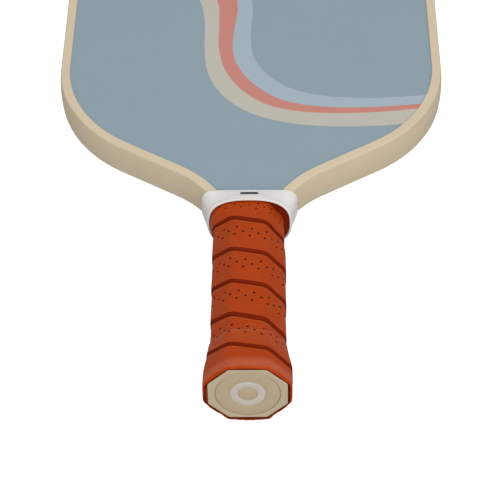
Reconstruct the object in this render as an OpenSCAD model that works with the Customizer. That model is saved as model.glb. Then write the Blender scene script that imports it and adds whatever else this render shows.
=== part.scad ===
// Pickleball paddle: a honeycomb sandwich blade in an edge guard, with a wrapped eight-sided grip.
// Origin at the centre of the butt end, +Y towards the head, +Z out of the front face. Millimetres.

/* [Head] */
// Full length from the butt to the crown of the head
total_len = 400; // [392:1:406]
// Width of the head over the edge guard
head_w = 202.7; // [196:0.1:208]
// Distance from the butt to the head's widest line
widest_y = 221.5; // [216:0.5:226]
// Outer radius of the two lower corners
corner_r = 73.5; // [68:0.5:78]
// Slope of the shoulders, in degrees from square across
shoulder_slope = 31.8; // [30:0.1:34]
// Length of the straight part of each shoulder
shoulder_len = 33.8; // [31:0.1:37]
// Outer radius of the throat on each side of the handle
throat_r = 55.5; // [54:0.5:58]
// Lean of the two sides towards each other, in degrees
side_lean = 0.8; // [0.2:0.1:1.5]
// Outer radius of the two upper corners
top_corner_r = 72; // [60:1:80]
// Outer radius of the crown
crown_r = 300; // [250:5:400]

/* [Blade] */
// Thickness of the honeycomb core
core_t = 14.8; // [13:0.1:16]
// Distance across the flats from one honeycomb cell to the next
cell_pitch = 12; // [10:0.5:16]
// Thickness of the honeycomb's walls
cell_wall = 0.5; // [0.4:0.1:1]
// Thickness of each film of adhesive
adhesive_t = 0.1; // [0.05:0.05:0.2]
// Thickness of each glass-fibre skin
skin_t = 0.5; // [0.4:0.05:0.8]
// Thickness of each printed film
film_t = 0.15; // [0.1:0.05:0.3]
// Width of the blade's tang inside the handle
tang_w = 28; // [24:0.5:29]
// Distance from the butt to the end of the tang
tang_y = 8; // [6:1:12]

/* [Edge guard] */
// Depth of the guard, from its outermost line to the edge of its lips
guard_depth = 5.4; // [4.5:0.1:8]
// Thickness of the guard's lips
lip_t = 0.85; // [0.6:0.05:1.2]
// Bulge of the guard's outer wall
guard_bulge = 0.7; // [0.5:0.1:2.5]
// Distance from the guard's outermost line to the blade's edge
panel_inset = 3; // [2.8:0.1:3.4]
// Thickness of the tape between the guard and the blade's edge
guard_tape_t = 0.25; // [0.15:0.05:0.3]
// Distance from the butt to the ends of the guard
guard_end_y = 117; // [116.5:0.5:120]

/* [Grip] */
// Width over the wrapped grip
grip_w = 36.6; // [35:0.1:38]
// Thickness over the wrapped grip
grip_t = 31; // [30:0.1:33]
// Width and height of the grip's bevels
grip_bevel = 9.9; // [9:0.1:10.5]
// Thickness of the wrap
wrap_t = 2; // [1.5:0.1:2.2]
// Distance from the butt to the top end of the wrap
wrap_end_y = 116; // [114.5:0.5:116]
// Greatest extra width of the flare over the straight grip
flare_extra = 6.4; // [4:0.1:8]
// Distance from the butt to the start of the flare
flare_y = 30; // [29:1:40]

/* [Butt] */
// Width of the end plate
plate_w = 37.8; // [37:0.1:39]
// Thickness of the end plate's front edge, front to back of the paddle
plate_h = 33.6; // [32.5:0.1:34.5]
// Thickness of the end plate along the handle
plate_t = 2; // [1.5:0.1:2.5]
// Radius of the round recess in the end plate
badge_r = 15.5; // [12:0.5:15.5]
// Depth of the round recess
badge_depth = 1.1; // [0.9:0.1:1.2]
// Length of the cap's skirt under the wrap
skirt_len = 27; // [20:1:30]

/* [Collar] */
// Distance from the butt to the collar's rim
collar_y = 113; // [112:0.5:114]
// Distance from the butt to the collar's far edge
collar_end_y = 126.5; // [125:0.5:130]
// Size over the collar's rim, across and front to back
collar_rim = [41.5, 34.4]; // [38:0.1:44]
// Size over the collar's far edge, across and front to back
collar_far = [48.9, 21]; // [48:0.1:52]

/* [Hidden] */
// The outline is a chain of tangent arcs and straights, one side mirrored to the other.
shoulder_n = [sin(shoulder_slope), -cos(shoulder_slope)];
shoulder_dir = [cos(shoulder_slope), sin(shoulder_slope)];
side_n = [cos(side_lean), sin(side_lean)];
side_dir = [-sin(side_lean), cos(side_lean)];
corner_c = [head_w / 2 - corner_r, widest_y];
shoulder_top = corner_c + corner_r * shoulder_n;
throat_c = shoulder_top - shoulder_len * shoulder_dir + throat_r * shoulder_n;
crown_c = [0, total_len - crown_r];
// The upper corner lies on the leaning side and touches the crown from inside.
from_crown = corner_c + (corner_r - top_corner_r) * side_n - crown_c;
along_side = from_crown * side_dir;
side_len = -along_side + sqrt(along_side ^ 2 - from_crown * from_crown + (crown_r - top_corner_r) ^ 2);
top_corner_c = crown_c + from_crown + side_len * side_dir;
crown_start = atan2(top_corner_c[1] - crown_c[1], top_corner_c[0]);
throat_start = shoulder_slope + 90;
throat_end = 180 - asin((guard_end_y - throat_c[1]) / throat_r);
arc_step = 3;

skin_z = core_t / 2 + adhesive_t;
film_z = skin_z + skin_t;
face_z = film_z + film_t;
guard_half = face_z + lip_t;
bulge_r = (guard_half ^ 2 + guard_bulge ^ 2) / (2 * guard_bulge);
bulge_angle = asin(guard_half / bulge_r);
bulge_steps = 8;

handle_w = grip_w - 2 * wrap_t;
handle_t = grip_t - 2 * wrap_t;
handle_bevel = grip_bevel - wrap_t * (2 - sqrt(2));
handle_y = 3.2;
handle_end_y = 114;
plate_gap = 0.05;
wrap_y = 0.3;
slice = 0.02;
inlay_t = 0.4;
badge_t = 0.8;
edge_round = 1.2;
collar_slope = atan((collar_rim[1] - collar_far[1]) / 2 / (collar_end_y - collar_y));
mark_y = 121.9;
mark_size = [9.5, 3.4];

blue = [0.55, 0.63, 0.68];
beige = [0.81, 0.75, 0.64];
terracotta = [0.69, 0.27, 0.11];
off_white = [0.86, 0.85, 0.83];
cream = [0.77, 0.71, 0.58];

// Points of an arc, from one angle to another
function arc(c, r, from, to) =
    let (n = ceil(abs(to - from) / arc_step))
    [for (i = [0:n]) c + r * [cos(from + (to - from) * i / n), sin(from + (to - from) * i / n)]];

function flipped(points) = [for (i = [len(points) - 1:-1:0]) [-points[i][0], points[i][1]]];

// The blade's outline, set in from the guard's outermost line, with its tang
function blade_points(inset) =
    let (
        r = throat_r + inset,
        tang_angle = 180 - acos((throat_c[0] - tang_w / 2) / r),
        right = concat(
            [[tang_w / 2, tang_y]],
            arc(throat_c, r, tang_angle, throat_start),
            arc(corner_c, corner_r - inset, shoulder_slope - 90, side_lean),
            arc(top_corner_c, top_corner_r - inset, side_lean, crown_start),
            arc(crown_c, crown_r - inset, crown_start, 90)
        )
    )
    concat(right, flipped(right));

module blade(inset, from_z, thickness) {
    translate([0, 0, from_z]) linear_extrude(thickness) polygon(blade_points(inset));
}

// Two-sided placing of a layer: the front one as given, the back one mirrored through the blade
module on_back() {
    mirror([0, 0, 1]) children();
}

module octagon(w, h, bevel) {
    polygon([
        for (s = [[1, 1], [-1, 1], [-1, -1], [1, -1]])
            each s[0] * s[1] > 0
                ? [[s[0] * w / 2, s[1] * (h / 2 - bevel)], [s[0] * (w / 2 - bevel), s[1] * h / 2]]
                : [[s[0] * (w / 2 - bevel), s[1] * h / 2], [s[0] * w / 2, s[1] * (h / 2 - bevel)]]
    ]);
}

// An eight-sided bar along the handle
module bar(from_y, to_y, w, h, bevel) {
    translate([0, to_y, 0]) rotate([90, 0, 0]) linear_extrude(to_y - from_y) octagon(w, h, bevel);
}

// The grip's outside grown or shrunk by an even amount
module grip_bar(from_y, to_y, grow) {
    bar(from_y, to_y, grip_w + 2 * grow, grip_t + 2 * grow, grip_bevel + grow * (2 - sqrt(2)));
}

// The flare at the butt: it turns in round the end plate, and eases out to the straight grip
module flare(grow) {
    slices = [[wrap_y, 0.78], [0.8, 0.94], [2, 0.98], [6, 1], [10, 0.95], [flare_y, 0]];
    hull()
        for (s = slices) grip_bar(s[0], s[0] + slice, grow + flare_extra / 2 * s[1]);
}

// The space between the end plate and the skirt's end that the wrap is drawn over
module skirt(from_y) {
    intersection() {
        flare(-wrap_t);
        bar(from_y, skirt_len, plate_w * 2, plate_h * 2, 0);
    }
}

/* Blade */

module honeycomb_cells() {
    cell_r = (cell_pitch - cell_wall) / sqrt(3);
    row_gap = cell_pitch * sqrt(3) / 2;
    rows = ceil(total_len / row_gap);
    columns = ceil(head_w / 2 / cell_pitch);
    for (row = [0:rows], column = [-columns:columns])
        translate([(column + (row % 2) / 2) * cell_pitch, row * row_gap])
            rotate(30) circle(cell_r, $fn = 6);
}

module core() {
    color("ivory")
        translate([0, 0, -core_t / 2])
            linear_extrude(core_t)
                difference() {
                    polygon(blade_points(panel_inset));
                    intersection() {
                        honeycomb_cells();
                        polygon(blade_points(panel_inset + 1));
                    }
                }
}

module adhesive_front() {
    color("khaki") blade(panel_inset, core_t / 2, adhesive_t);
}

module adhesive_back() {
    on_back() adhesive_front();
}

module skin_front() {
    color("gainsboro") blade(panel_inset, skin_z, skin_t);
}

module skin_back() {
    on_back() skin_front();
}

module printed_film_front() {
    color(blue) blade(panel_inset, film_z, film_t);
}

module printed_film_back() {
    on_back() printed_film_front();
}

/* Edge guard */

// Stations round the head at one inset, from the right-hand end of the guard to the left-hand one
function guard_path(inset) =
    let (
        right = concat(
            arc(throat_c, throat_r + inset, throat_end, throat_start),
            arc(corner_c, corner_r - inset, shoulder_slope - 90, side_lean),
            arc(top_corner_c, top_corner_r - inset, side_lean, crown_start),
            arc(crown_c, crown_r - inset, crown_start, 90)
        )
    )
    concat([for (i = [0:len(right) - 2]) right[i]], flipped(right));

// The guard's bulged outer wall as points of inset and height, front to back
bulge_points = [
    for (i = [0:bulge_steps])
        let (a = bulge_angle * (1 - 2 * i / bulge_steps))
        [bulge_r * (1 - cos(a)), bulge_r * sin(a)]
];

// Sweeps a section of inset and height round the head; the caps are its convex pieces
module round_the_head(section, caps) {
    n = len(section);
    rails = [for (p = section) [for (q = guard_path(p[0])) [q[0], q[1], p[1]]]];
    m = len(rails[0]);
    polyhedron(
        points = [for (rail = rails) each rail],
        faces = concat(
            [
                for (j = [0:n - 1], i = [0:m - 2])
                    let (k = (j + 1) % n)
                    each [[k * m + i, j * m + i, k * m + i + 1], [k * m + i + 1, j * m + i, j * m + i + 1]]
            ],
            [for (cap = caps) [for (j = cap) j * m]],
            [for (cap = caps) [for (j = [len(cap) - 1:-1:0]) cap[j] * m + m - 1]]
        )
    );
}

module guard_outside() {
    section = concat(bulge_points, [[guard_depth, -guard_half], [guard_depth, guard_half]]);
    round_the_head(section, [[for (j = [0:len(section) - 1]) j]]);
}

module edge_guard() {
    slot = panel_inset - guard_tape_t;
    back = bulge_steps;
    section = concat(
        bulge_points,
        [[guard_depth, -guard_half], [guard_depth, -face_z], [slot, -face_z]],
        [[slot, face_z], [guard_depth, face_z], [guard_depth, guard_half]]
    );
    wall = concat([for (j = [0:back]) j], [back + 3, back + 4]);
    front_lip = [back + 4, back + 5, back + 6, 0];
    back_lip = [back, back + 1, back + 2, back + 3];
    color(beige) round_the_head(section, [wall, front_lip, back_lip]);
}

module guard_tape() {
    color("dimgray")
        difference() {
            blade(panel_inset - guard_tape_t, -face_z, 2 * face_z);
            blade(panel_inset, -guard_half, 2 * guard_half);
            translate([-head_w / 2, 0, -guard_half]) cube([head_w, guard_end_y + 2, 2 * guard_half]);
        }
}

/* Handle */

module handle_shell_front() {
    color("dimgray")
        difference() {
            bar(handle_y, handle_end_y, handle_w, handle_t, handle_bevel);
            blade(panel_inset, -face_z, 2 * face_z);
            translate([-handle_w, 0, -handle_t]) cube([2 * handle_w, 2 * handle_end_y, handle_t]);
        }
}

module handle_shell_back() {
    on_back() handle_shell_front();
}

module badge_disc(from_y, thickness, r) {
    translate([0, from_y + thickness, 0]) rotate([90, 0, 0]) cylinder(h = thickness, r = r, $fn = 96);
}

module butt_cap() {
    color(cream)
        difference() {
            union() {
                hull() {
                    bar(0, slice, plate_w - edge_round, plate_h - edge_round, grip_bevel);
                    bar(edge_round / 2, plate_t, plate_w, plate_h, grip_bevel);
                }
                skirt(plate_t - slice);
            }
            bar(handle_y - slice, flare_y + 1, handle_w, handle_t, handle_bevel);
            badge_disc(-badge_depth, 2 * badge_depth, badge_r);
        }
}

module ring_inlay() {
    difference() {
        badge_disc(badge_depth - badge_t, inlay_t, badge_r * 0.55);
        badge_disc(badge_depth - badge_t - inlay_t, 3 * inlay_t, badge_r * 0.3);
    }
}

module butt_badge() {
    color("tan")
        difference() {
            badge_disc(badge_depth - badge_t, badge_t, badge_r - 0.2);
            ring_inlay();
        }
}

module badge_ring() {
    color("linen") ring_inlay();
}

module grip_wrap() {
    color(terracotta)
        difference() {
            union() {
                grip_bar(flare_y - 1, wrap_end_y, 0);
                flare(0);
            }
            grip_bar(plate_t, wrap_end_y + 1, -wrap_t);
            skirt(plate_t - slice);
            bar(0, plate_t, plate_w + 2 * plate_gap, plate_h + 2 * plate_gap, grip_bevel);
        }
}

module finishing_tape() {
    tape_t = 0.2;
    color("black")
        difference() {
            grip_bar(collar_y + 0.6, wrap_end_y, tape_t);
            grip_bar(collar_y, wrap_end_y + 1, 0);
        }
}

/* Collar */

module rounded_slab(from_y, size, r) {
    translate([0, from_y + slice, 0])
        rotate([90, 0, 0])
            linear_extrude(slice)
                hull()
                    for (x = [-1, 1], z = [-1, 1])
                        translate([x * (size[0] / 2 - r), z * (size[1] / 2 - r)]) circle(r, $fn = 48);
}

module mark_inlay(grow) {
    mark_z = collar_far[1] / 2 + (collar_end_y - mark_y) * tan(collar_slope);
    translate([0, mark_y, mark_z])
        rotate([-collar_slope, 0, 0])
            translate([0, 0, -inlay_t])
                linear_extrude(inlay_t + grow)
                    hull()
                        for (x = [-1, 1])
                            translate([x * (mark_size[0] - mark_size[1]) / 2, 0])
                                circle(d = mark_size[1], $fn = 32);
}

module collar() {
    tape_room = 0.2;
    color(off_white)
        difference() {
            hull() {
                rounded_slab(collar_y, collar_rim, 13);
                rounded_slab(collar_end_y - slice, collar_far, 6);
            }
            grip_bar(collar_y - 1, wrap_end_y, tape_room);
            bar(wrap_end_y - 1, wrap_end_y + 0.5, handle_w, handle_t, handle_bevel);
            blade(panel_inset, -face_z, 2 * face_z);
            guard_outside();
            mark_inlay(1);
        }
}

module collar_mark() {
    color("dimgray") mark_inlay(0);
}

core();
adhesive_front();
adhesive_back();
skin_front();
skin_back();
printed_film_front();
printed_film_back();
guard_tape();
edge_guard();
handle_shell_front();
handle_shell_back();
butt_cap();
butt_badge();
badge_ring();
grip_wrap();
finishing_tape();
collar();
collar_mark();
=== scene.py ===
"""Looks of the pickleball paddle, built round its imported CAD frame.

Sizes are in millimetres unless a comment says otherwise. The handle lies along Y, its butt at zero.
"""

import math

import bmesh
import bpy
from mathutils import Matrix, Vector


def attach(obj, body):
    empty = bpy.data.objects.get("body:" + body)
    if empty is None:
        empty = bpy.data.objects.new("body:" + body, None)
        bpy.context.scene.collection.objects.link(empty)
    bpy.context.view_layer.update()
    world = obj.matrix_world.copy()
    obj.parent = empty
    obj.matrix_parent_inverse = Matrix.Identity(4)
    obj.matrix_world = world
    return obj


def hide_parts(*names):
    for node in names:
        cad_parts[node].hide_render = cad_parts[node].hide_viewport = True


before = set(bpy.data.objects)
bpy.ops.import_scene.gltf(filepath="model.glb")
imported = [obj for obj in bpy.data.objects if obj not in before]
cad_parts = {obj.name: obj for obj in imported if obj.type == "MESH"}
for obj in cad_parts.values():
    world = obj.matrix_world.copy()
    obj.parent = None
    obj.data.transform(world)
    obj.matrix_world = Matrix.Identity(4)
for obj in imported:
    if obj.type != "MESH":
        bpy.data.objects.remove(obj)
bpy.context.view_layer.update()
scene = bpy.context.scene
MM = 0.001
BODY = "root"

# The head's outline: a chain of tangent arcs and straights, the same as the CAD's
TOTAL_LEN = 400.0
HEAD_W = 202.7
CORNER_R = 73.5
SHOULDER_SLOPE = 31.8
SHOULDER_LEN = 33.8
THROAT_R = 55.5
SIDE_LEAN = 0.8
TOP_CORNER_R = 72.0
CROWN_R = 300.0
CORNER_C = Vector((HEAD_W / 2 - CORNER_R, 221.5))
CROWN_C = Vector((0, TOTAL_LEN - CROWN_R))
GUARD_END_Y = 117.0
ARC_STEP = 1.0

# Blade and guard
FACE_Z = 8.15
GUARD_HALF = 9.0
GUARD_DEPTH = 5.4
GUARD_BULGE = 0.7
GUARD_WALL_R = (GUARD_HALF ** 2 + GUARD_BULGE ** 2) / (2 * GUARD_BULGE)
GUARD_SWEEP = math.asin(GUARD_HALF / GUARD_WALL_R)
PANEL_INSET = 3.0
GUARD_SLOT = 2.75

# Handle, before the wrap
HANDLE_W = 32.6
HANDLE_T = 27.0
HANDLE_BEVEL = 8.73
HANDLE_ROUND = 4.8
LEVEL = 2 - math.sqrt(2)

# The wrap's strip
STRIP_T = 1.6
LAP_T = 2.0
DIP = 0.1
LAP = 4.4
TURN_PITCH = 21.45
SEAM_Y = 100.8
RISER_RUN = 2.3
RISER_FOOT = 1.62
STRIP_END_Y = 115.6
STRIP_START_Y = 0.3
TAIL_Y = 104.0
TAIL_SHRINK = 0.7
HOLE_STEPS = 8
BLOCK = 4
PLAIN_Y = 8.0
TURN_STEPS = 115.2
FIRST_HOLE = -2.5
HOLES_FROM_LAP = 10.0
STEP_ACROSS = 0.625
HOLE_R = 0.6
HOLE_DEPTH = 0.9

# Butt
PLATE_W = 37.8
PLATE_H = 33.6
PLATE_BEVEL = 9.9
PLATE_ROUND = 2.6
PLATE_T = 2.0
PLATE_EASE = 0.55
BADGE_R = 15.5
BADGE_Y = 0.3
BADGE_BACK_Y = 1.1
RING_R = (4.65, 8.5)

# Collar
RIM_Y = 113.0
RIM_HALF = (20.75, 17.1)
OPENING_HALF = (20.0, 15.9)
OVAL_POWER = 2.6
FAR_Y = 126.5
FAR_HALF = (24.45, 10.5)
FAR_R = 6.0
FAR_ROUND = 0.7


def srgb(red, green, blue):
    """A colour given on the 0 to 255 scale, as linear values for a shader."""
    def one(c):
        c /= 255
        return c / 12.92 if c <= 0.04045 else ((c + 0.055) / 1.055) ** 2.4
    return (one(red), one(green), one(blue), 1.0)


def smooth(x):
    x = min(max(x, 0.0), 1.0)
    return x * x * (3 - 2 * x)


def mix(a, b, t):
    return a + (b - a) * t


# Materials

class Finish:
    """A principled material whose colour, roughness and relief are built up in layers of noise."""

    def __init__(self, name, colour, roughness, **sockets):
        self.material = bpy.data.materials.new(name)
        self.material.use_nodes = True
        self.tree = self.material.node_tree
        self.shader = self.tree.nodes["Principled BSDF"]
        self.shader.inputs["Base Color"].default_value = colour
        self.shader.inputs["Roughness"].default_value = roughness
        for key, value in sockets.items():
            self.shader.inputs[key.replace("_", " ")].default_value = value
        self.colour = colour
        self.colour_out = None
        self.roughness = roughness
        self.normal_out = None
        self.place = self.tree.nodes.new("ShaderNodeTexCoord").outputs["Object"]

    def add(self, kind, output, inputs, **values):
        """Adds a node, sets or links its inputs and returns one of its outputs."""
        made = self.tree.nodes.new(kind)
        for key, value in values.items():
            setattr(made, key, value)
        for key, value in inputs.items():
            if isinstance(value, bpy.types.NodeSocket):
                self.tree.links.new(value, made.inputs[key])
            else:
                made.inputs[key].default_value = value
        return made.outputs[output]

    def stretched(self, scale):
        if scale == (1, 1, 1):
            return self.place
        return self.add("ShaderNodeMapping", "Vector", {"Scale": scale, "Vector": self.place})

    def noise(self, size, detail=3.0, stretch=(1, 1, 1)):
        """Noise whose features are about `size` millimetres across."""
        inputs = {"Scale": 1 / (size * MM), "Detail": detail, "Vector": self.stretched(stretch)}
        return self.add("ShaderNodeTexNoise", "Fac", inputs)

    def cells(self, size):
        """Distance to the nearest of a scatter of points about `size` millimetres apart."""
        return self.add("ShaderNodeTexVoronoi", "Distance", {"Scale": 1 / (size * MM), "Vector": self.place})

    def ramp(self, source, low, high, start=0.0, end=1.0):
        inputs = {"Value": source, "From Min": low, "From Max": high, "To Min": start, "To Max": end}
        return self.add("ShaderNodeMapRange", "Result", inputs)

    def band(self, start, full, fading, end, amount):
        """A band across the handle, in metres from the butt, that rises, fades and is broken by noise: the
        mask of the painted highlights.
        """
        y = self.add("ShaderNodeSeparateXYZ", "Y", {"Vector": self.place})
        rise = self.ramp(y, start, full)
        fade = self.ramp(y, fading, end, 1.0, 0.0)
        patchy = self.ramp(self.noise(5.0), 0.3, 0.7, 0.7 * amount, amount)
        for factor in (fade, patchy):
            rise = self.add("ShaderNodeMath", "Value", {0: rise, 1: factor}, operation="MULTIPLY")
        return rise

    def tint(self, amount, colour):
        """Blends a colour over what is there, by an amount that varies over the surface."""
        made = self.tree.nodes.new("ShaderNodeMix")
        made.data_type = "RGBA"
        under, over = [s for s in made.inputs if s.type == "RGBA"]
        if self.colour_out is None:
            under.default_value = self.colour
        else:
            self.tree.links.new(self.colour_out, under)
        over.default_value = colour
        self.tree.links.new(amount, made.inputs[0])
        self.colour_out = [s for s in made.outputs if s.type == "RGBA"][0]
        self.tree.links.new(self.colour_out, self.shader.inputs["Base Color"])

    def mottle(self, size, colour, amount, detail=3.0, stretch=(1, 1, 1)):
        """Shades the colour by noise, towards one on the 0 to 255 scale."""
        self.tint(self.ramp(self.noise(size, detail, stretch), 0.35, 0.65, 0.0, amount), srgb(*colour))

    def rough(self, size, spread):
        """Varies the roughness by noise."""
        varied = self.ramp(self.noise(size), 0.3, 0.7, self.roughness - spread, self.roughness + spread)
        self.tree.links.new(varied, self.shader.inputs["Roughness"])

    def relief(self, height, depth_mm, strength):
        """Bumps the surface by a height, over any relief that it has."""
        inputs = {"Strength": strength, "Distance": depth_mm * MM, "Height": height}
        if self.normal_out is not None:
            inputs["Normal"] = self.normal_out
        self.normal_out = self.add("ShaderNodeBump", "Normal", inputs)
        self.tree.links.new(self.normal_out, self.shader.inputs["Normal"])


def layered(name, colour, roughness, specular, shades, rough, relief):
    """A finish of mottle()'s shades, uneven roughness and relief as (depth, strength, noise()'s values)."""
    made = Finish(name, srgb(*colour), roughness, Specular_IOR_Level=specular)
    for shade in shades:
        made.mottle(*shade)
    made.rough(*rough)
    depth, strength, *grain = relief
    made.relief(made.noise(*grain), depth, strength)
    return made.material


def printed_surface(name, colour, darker, lighter):
    """Screen ink over a fine peel-ply texture."""
    made = Finish(name, srgb(*colour), 0.52, Specular_IOR_Level=0.35)
    made.mottle(1.1, darker, 0.30, 4.0)
    made.mottle(0.45, lighter, 0.25, 2.0)
    made.mottle(38.0, lighter, 0.10, 2.0)
    made.rough(2.5, 0.05)
    made.relief(made.noise(0.6, 3.0), 0.05, 0.5)
    made.relief(made.cells(0.9), 0.02, 0.3)
    return made.material


def blue_film():
    return printed_surface("blue_film", (143, 161, 173), (131, 149, 162), (153, 171, 182))


def grey_ink():
    return printed_surface("warm_grey_ink", (193, 188, 176), (183, 177, 166), (200, 196, 185))


def coral_ink():
    return printed_surface("coral_ink", (200, 132, 120), (196, 126, 114), (213, 145, 131))


def light_blue_ink():
    return printed_surface("light_blue_ink", (164, 180, 191), (159, 175, 187), (175, 191, 201))


def guard_rubber():
    """Moulded beige thermoplastic with a fine matt texture."""
    shades = [
        (0.5, (206, 188, 158), 0.30),
        (14.0, (222, 207, 180), 0.25, 2.0),
        (60.0, (209, 192, 162), 0.20, 1.0),
    ]
    return layered("beige_guard", (216, 199, 170), 0.55, 0.4, shades, (3.0, 0.06), (0.02, 0.4, 0.35))


def collar_plastic():
    """Moulded off-white plastic, satin with a very fine texture."""
    shades = [(0.5, (229, 226, 222), 0.25), (9.0, (241, 239, 236), 0.25, 2.0)]
    tone = (238, 235, 231)
    return layered("off_white_collar", tone, 0.42, 0.45, shades, (2.0, 0.05), (0.015, 0.4, 0.4))


def wrap_leather():
    """Dyed grip strip: fine pores, soft creases, a cloudy dye and painted highlight bands on the flare."""
    made = Finish(
        "terracotta_wrap",
        srgb(177, 63, 5),
        0.5,
        Specular_IOR_Level=0.12,
        Sheen_Weight=0.08,
        Sheen_Roughness=0.3,
        Sheen_Tint=srgb(236, 190, 176),
    )
    made.mottle(0.95, (157, 50, 4), 0.40)
    made.mottle(7.0, (184, 72, 14), 0.35)
    made.mottle(26.0, (168, 59, 7), 0.30, 2.0)
    # Painted highlights: a pale band near the butt where the flare rounds towards the plate, and paler bands
    # down the flare's slope and along its ridge
    worn = srgb(206, 118, 90)
    # This colour is a painted highlight tint, laid down the flare's slope and along its ridge
    stretched = srgb(206, 122, 86)
    made.tint(made.band(0.0008, 0.002, 0.0042, 0.008, 0.42), worn)
    made.tint(made.band(0.014, 0.021, 0.0262, 0.0272, 0.1), stretched)
    made.tint(made.band(0.0248, 0.0262, 0.0266, 0.0274, 0.16), stretched)
    made.rough(4.0, 0.07)
    made.relief(made.cells(0.55), 0.05, 0.35)
    made.relief(made.noise(0.3), 0.04, 0.35)
    made.relief(made.noise(3.5), 0.12, 0.35)
    return made.material


def rubbed_leather():
    """A painted highlight along the strip beside each lap, paler than the leather."""
    shades = [(0.6, (178, 66, 12), 0.4), (4.0, (180, 68, 14), 0.6)]
    return layered("painted_lap_highlight_wrap", (190, 82, 30), 0.5, 0.12, shades, (2.0, 0.07), (0.04, 0.35, 0.3))


def skived_edge():
    """The strip's bevelled edge, coloured a darker red-brown than the strip's face."""
    shades = [(0.4, (106, 26, 5), 0.5, 3.0, (1, 0.35, 1)), (3.0, (130, 38, 10), 0.4)]
    grain = (0.06, 0.5, 0.25, 3.0, (1, 0.3, 1))
    return layered("skived_edge", (118, 31, 7), 0.75, 0.05, shades, (1.0, 0.08), grain)


def lap_line():
    """Painted shadow at the foot of the skived edge, also laid on the strip's cut ends."""
    shades = [(0.5, (82, 18, 4), 0.5)]
    return layered("lap_line", (96, 24, 6), 0.9, 0.0, shades, (0.8, 0.05), (0.03, 0.4, 0.3, 2.0))


def hole_inside():
    """Painted shade on the walls and floors of the punched holes."""
    shades = [(0.2, (50, 12, 5), 0.6, 2.0)]
    grain = (0.05, 0.6, 0.15, 2.0)
    return layered("perforation_painted_shade", (78, 20, 8), 0.85, 0.2, shades, (0.5, 0.05), grain)


def plate_plastic():
    shades = [(0.5, (184, 169, 140), 0.30), (8.0, (199, 185, 157), 0.25, 2.0)]
    return layered("cream_cap", (198, 182, 153), 0.48, 0.4, shades, (2.0, 0.05), (0.02, 0.4, 0.35))


def badge_plastic():
    shades = [(0.5, (184, 164, 134), 0.30), (6.0, (199, 180, 150), 0.25, 2.0)]
    return layered("tan_badge", (193, 173, 143), 0.5, 0.4, shades, (2.0, 0.05), (0.02, 0.4, 0.35))


def ring_plastic():
    shades = [(0.5, (193, 183, 172), 0.30), (5.0, (209, 200, 190), 0.25, 2.0)]
    return layered("pale_ring", (209, 199, 190), 0.45, 0.4, shades, (2.0, 0.05), (0.015, 0.4, 0.3))


def mark_ink():
    shades = [(0.4, (40, 36, 35), 0.5)]
    return layered("dark_mark", (52, 48, 46), 0.5, 0.35, shades, (1.0, 0.06), (0.015, 0.4, 0.3))


def vinyl_tape():
    """Tape with a grain drawn out along it."""
    shades = [(1.2, (104, 34, 20), 0.4, 3.0, (1, 0.2, 1))]
    grain = (0.03, 0.4, 0.5, 3.0, (0.3, 1, 0.3))
    return layered("vinyl_tape", (122, 44, 26), 0.45, 0.4, shades, (1.5, 0.07), grain)


def honeycomb_plastic():
    """Core walls, streaked along their depth."""
    shades = [(3.0, (210, 205, 188), 0.4, 3.0, (1, 1, 0.15))]
    grain = (0.04, 0.4, 0.8, 3.0, (1, 1, 0.1))
    return layered("honeycomb_polymer", (224, 220, 205), 0.4, 0.45, shades, (2.0, 0.06), grain)


def adhesive_resin():
    shades = [(4.0, (188, 166, 100), 0.5, 4.0)]
    return layered("adhesive_resin", (204, 184, 120), 0.3, 0.5, shades, (3.0, 0.08), (0.05, 0.5, 1.5))


def glass_skin():
    """Woven glass cloth set in resin."""
    made = Finish("glass_skin", srgb(214, 216, 206), 0.35, Specular_IOR_Level=0.5)
    made.mottle(0.9, (192, 196, 186), 0.5, 1.0, (1, 0.12, 1))
    made.mottle(0.9, (226, 228, 220), 0.5, 1.0, (0.12, 1, 1))
    made.rough(2.0, 0.05)
    made.relief(made.noise(0.8, 1.0, (1, 0.12, 1)), 0.04, 0.4)
    made.relief(made.noise(0.8, 1.0, (0.12, 1, 1)), 0.04, 0.4)
    return made.material


def foam_tape():
    """Soft tape with open pores."""
    made = Finish("foam_tape", srgb(92, 92, 94), 0.8, Specular_IOR_Level=0.2)
    made.mottle(0.8, (72, 72, 74), 0.5)
    made.rough(1.0, 0.06)
    made.relief(made.cells(0.5), 0.06, 0.5)
    return made.material


def shell_plastic():
    shades = [(1.0, (58, 60, 63), 0.5), (12.0, (82, 84, 87), 0.3, 2.0)]
    return layered("handle_polymer", (70, 72, 75), 0.55, 0.4, shades, (3.0, 0.07), (0.03, 0.5, 0.6))


def studio_floor():
    """A pale matt floor that shines just enough to read as white."""
    made = Finish("studio_floor", (0.45, 0.45, 0.45, 1), 0.9, Specular_IOR_Level=0.0)
    made.shader.inputs["Emission Color"].default_value = (1, 1, 1, 1)
    made.shader.inputs["Emission Strength"].default_value = 0.97
    made.rough(400.0, 0.03)
    return made.material


# Meshes

def solid(name, shape):
    """A mesh object from a shape: its points in millimetres and its faces."""
    points, faces = shape
    mesh = bpy.data.meshes.new(name)
    mesh.from_pydata([[c * MM for c in p] for p in points], [], faces)
    made = bpy.data.objects.new(name, mesh)
    scene.collection.objects.link(made)
    return made


def put(name, shape, materials, slot, replaced=None, indices=None, crease=35.0):
    """Makes one piece, rides it on the body and hides the CAD node it stands for, by default its slot's."""
    made = solid(name, shape)
    for material in materials:
        made.data.materials.append(material)
    if indices:
        made.data.polygons.foreach_set("material_index", indices)
    clean(made.data)
    soften(made.data, crease)
    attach(made, BODY)
    if replaced != "":
        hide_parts(replaced or slot)
    return made


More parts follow.
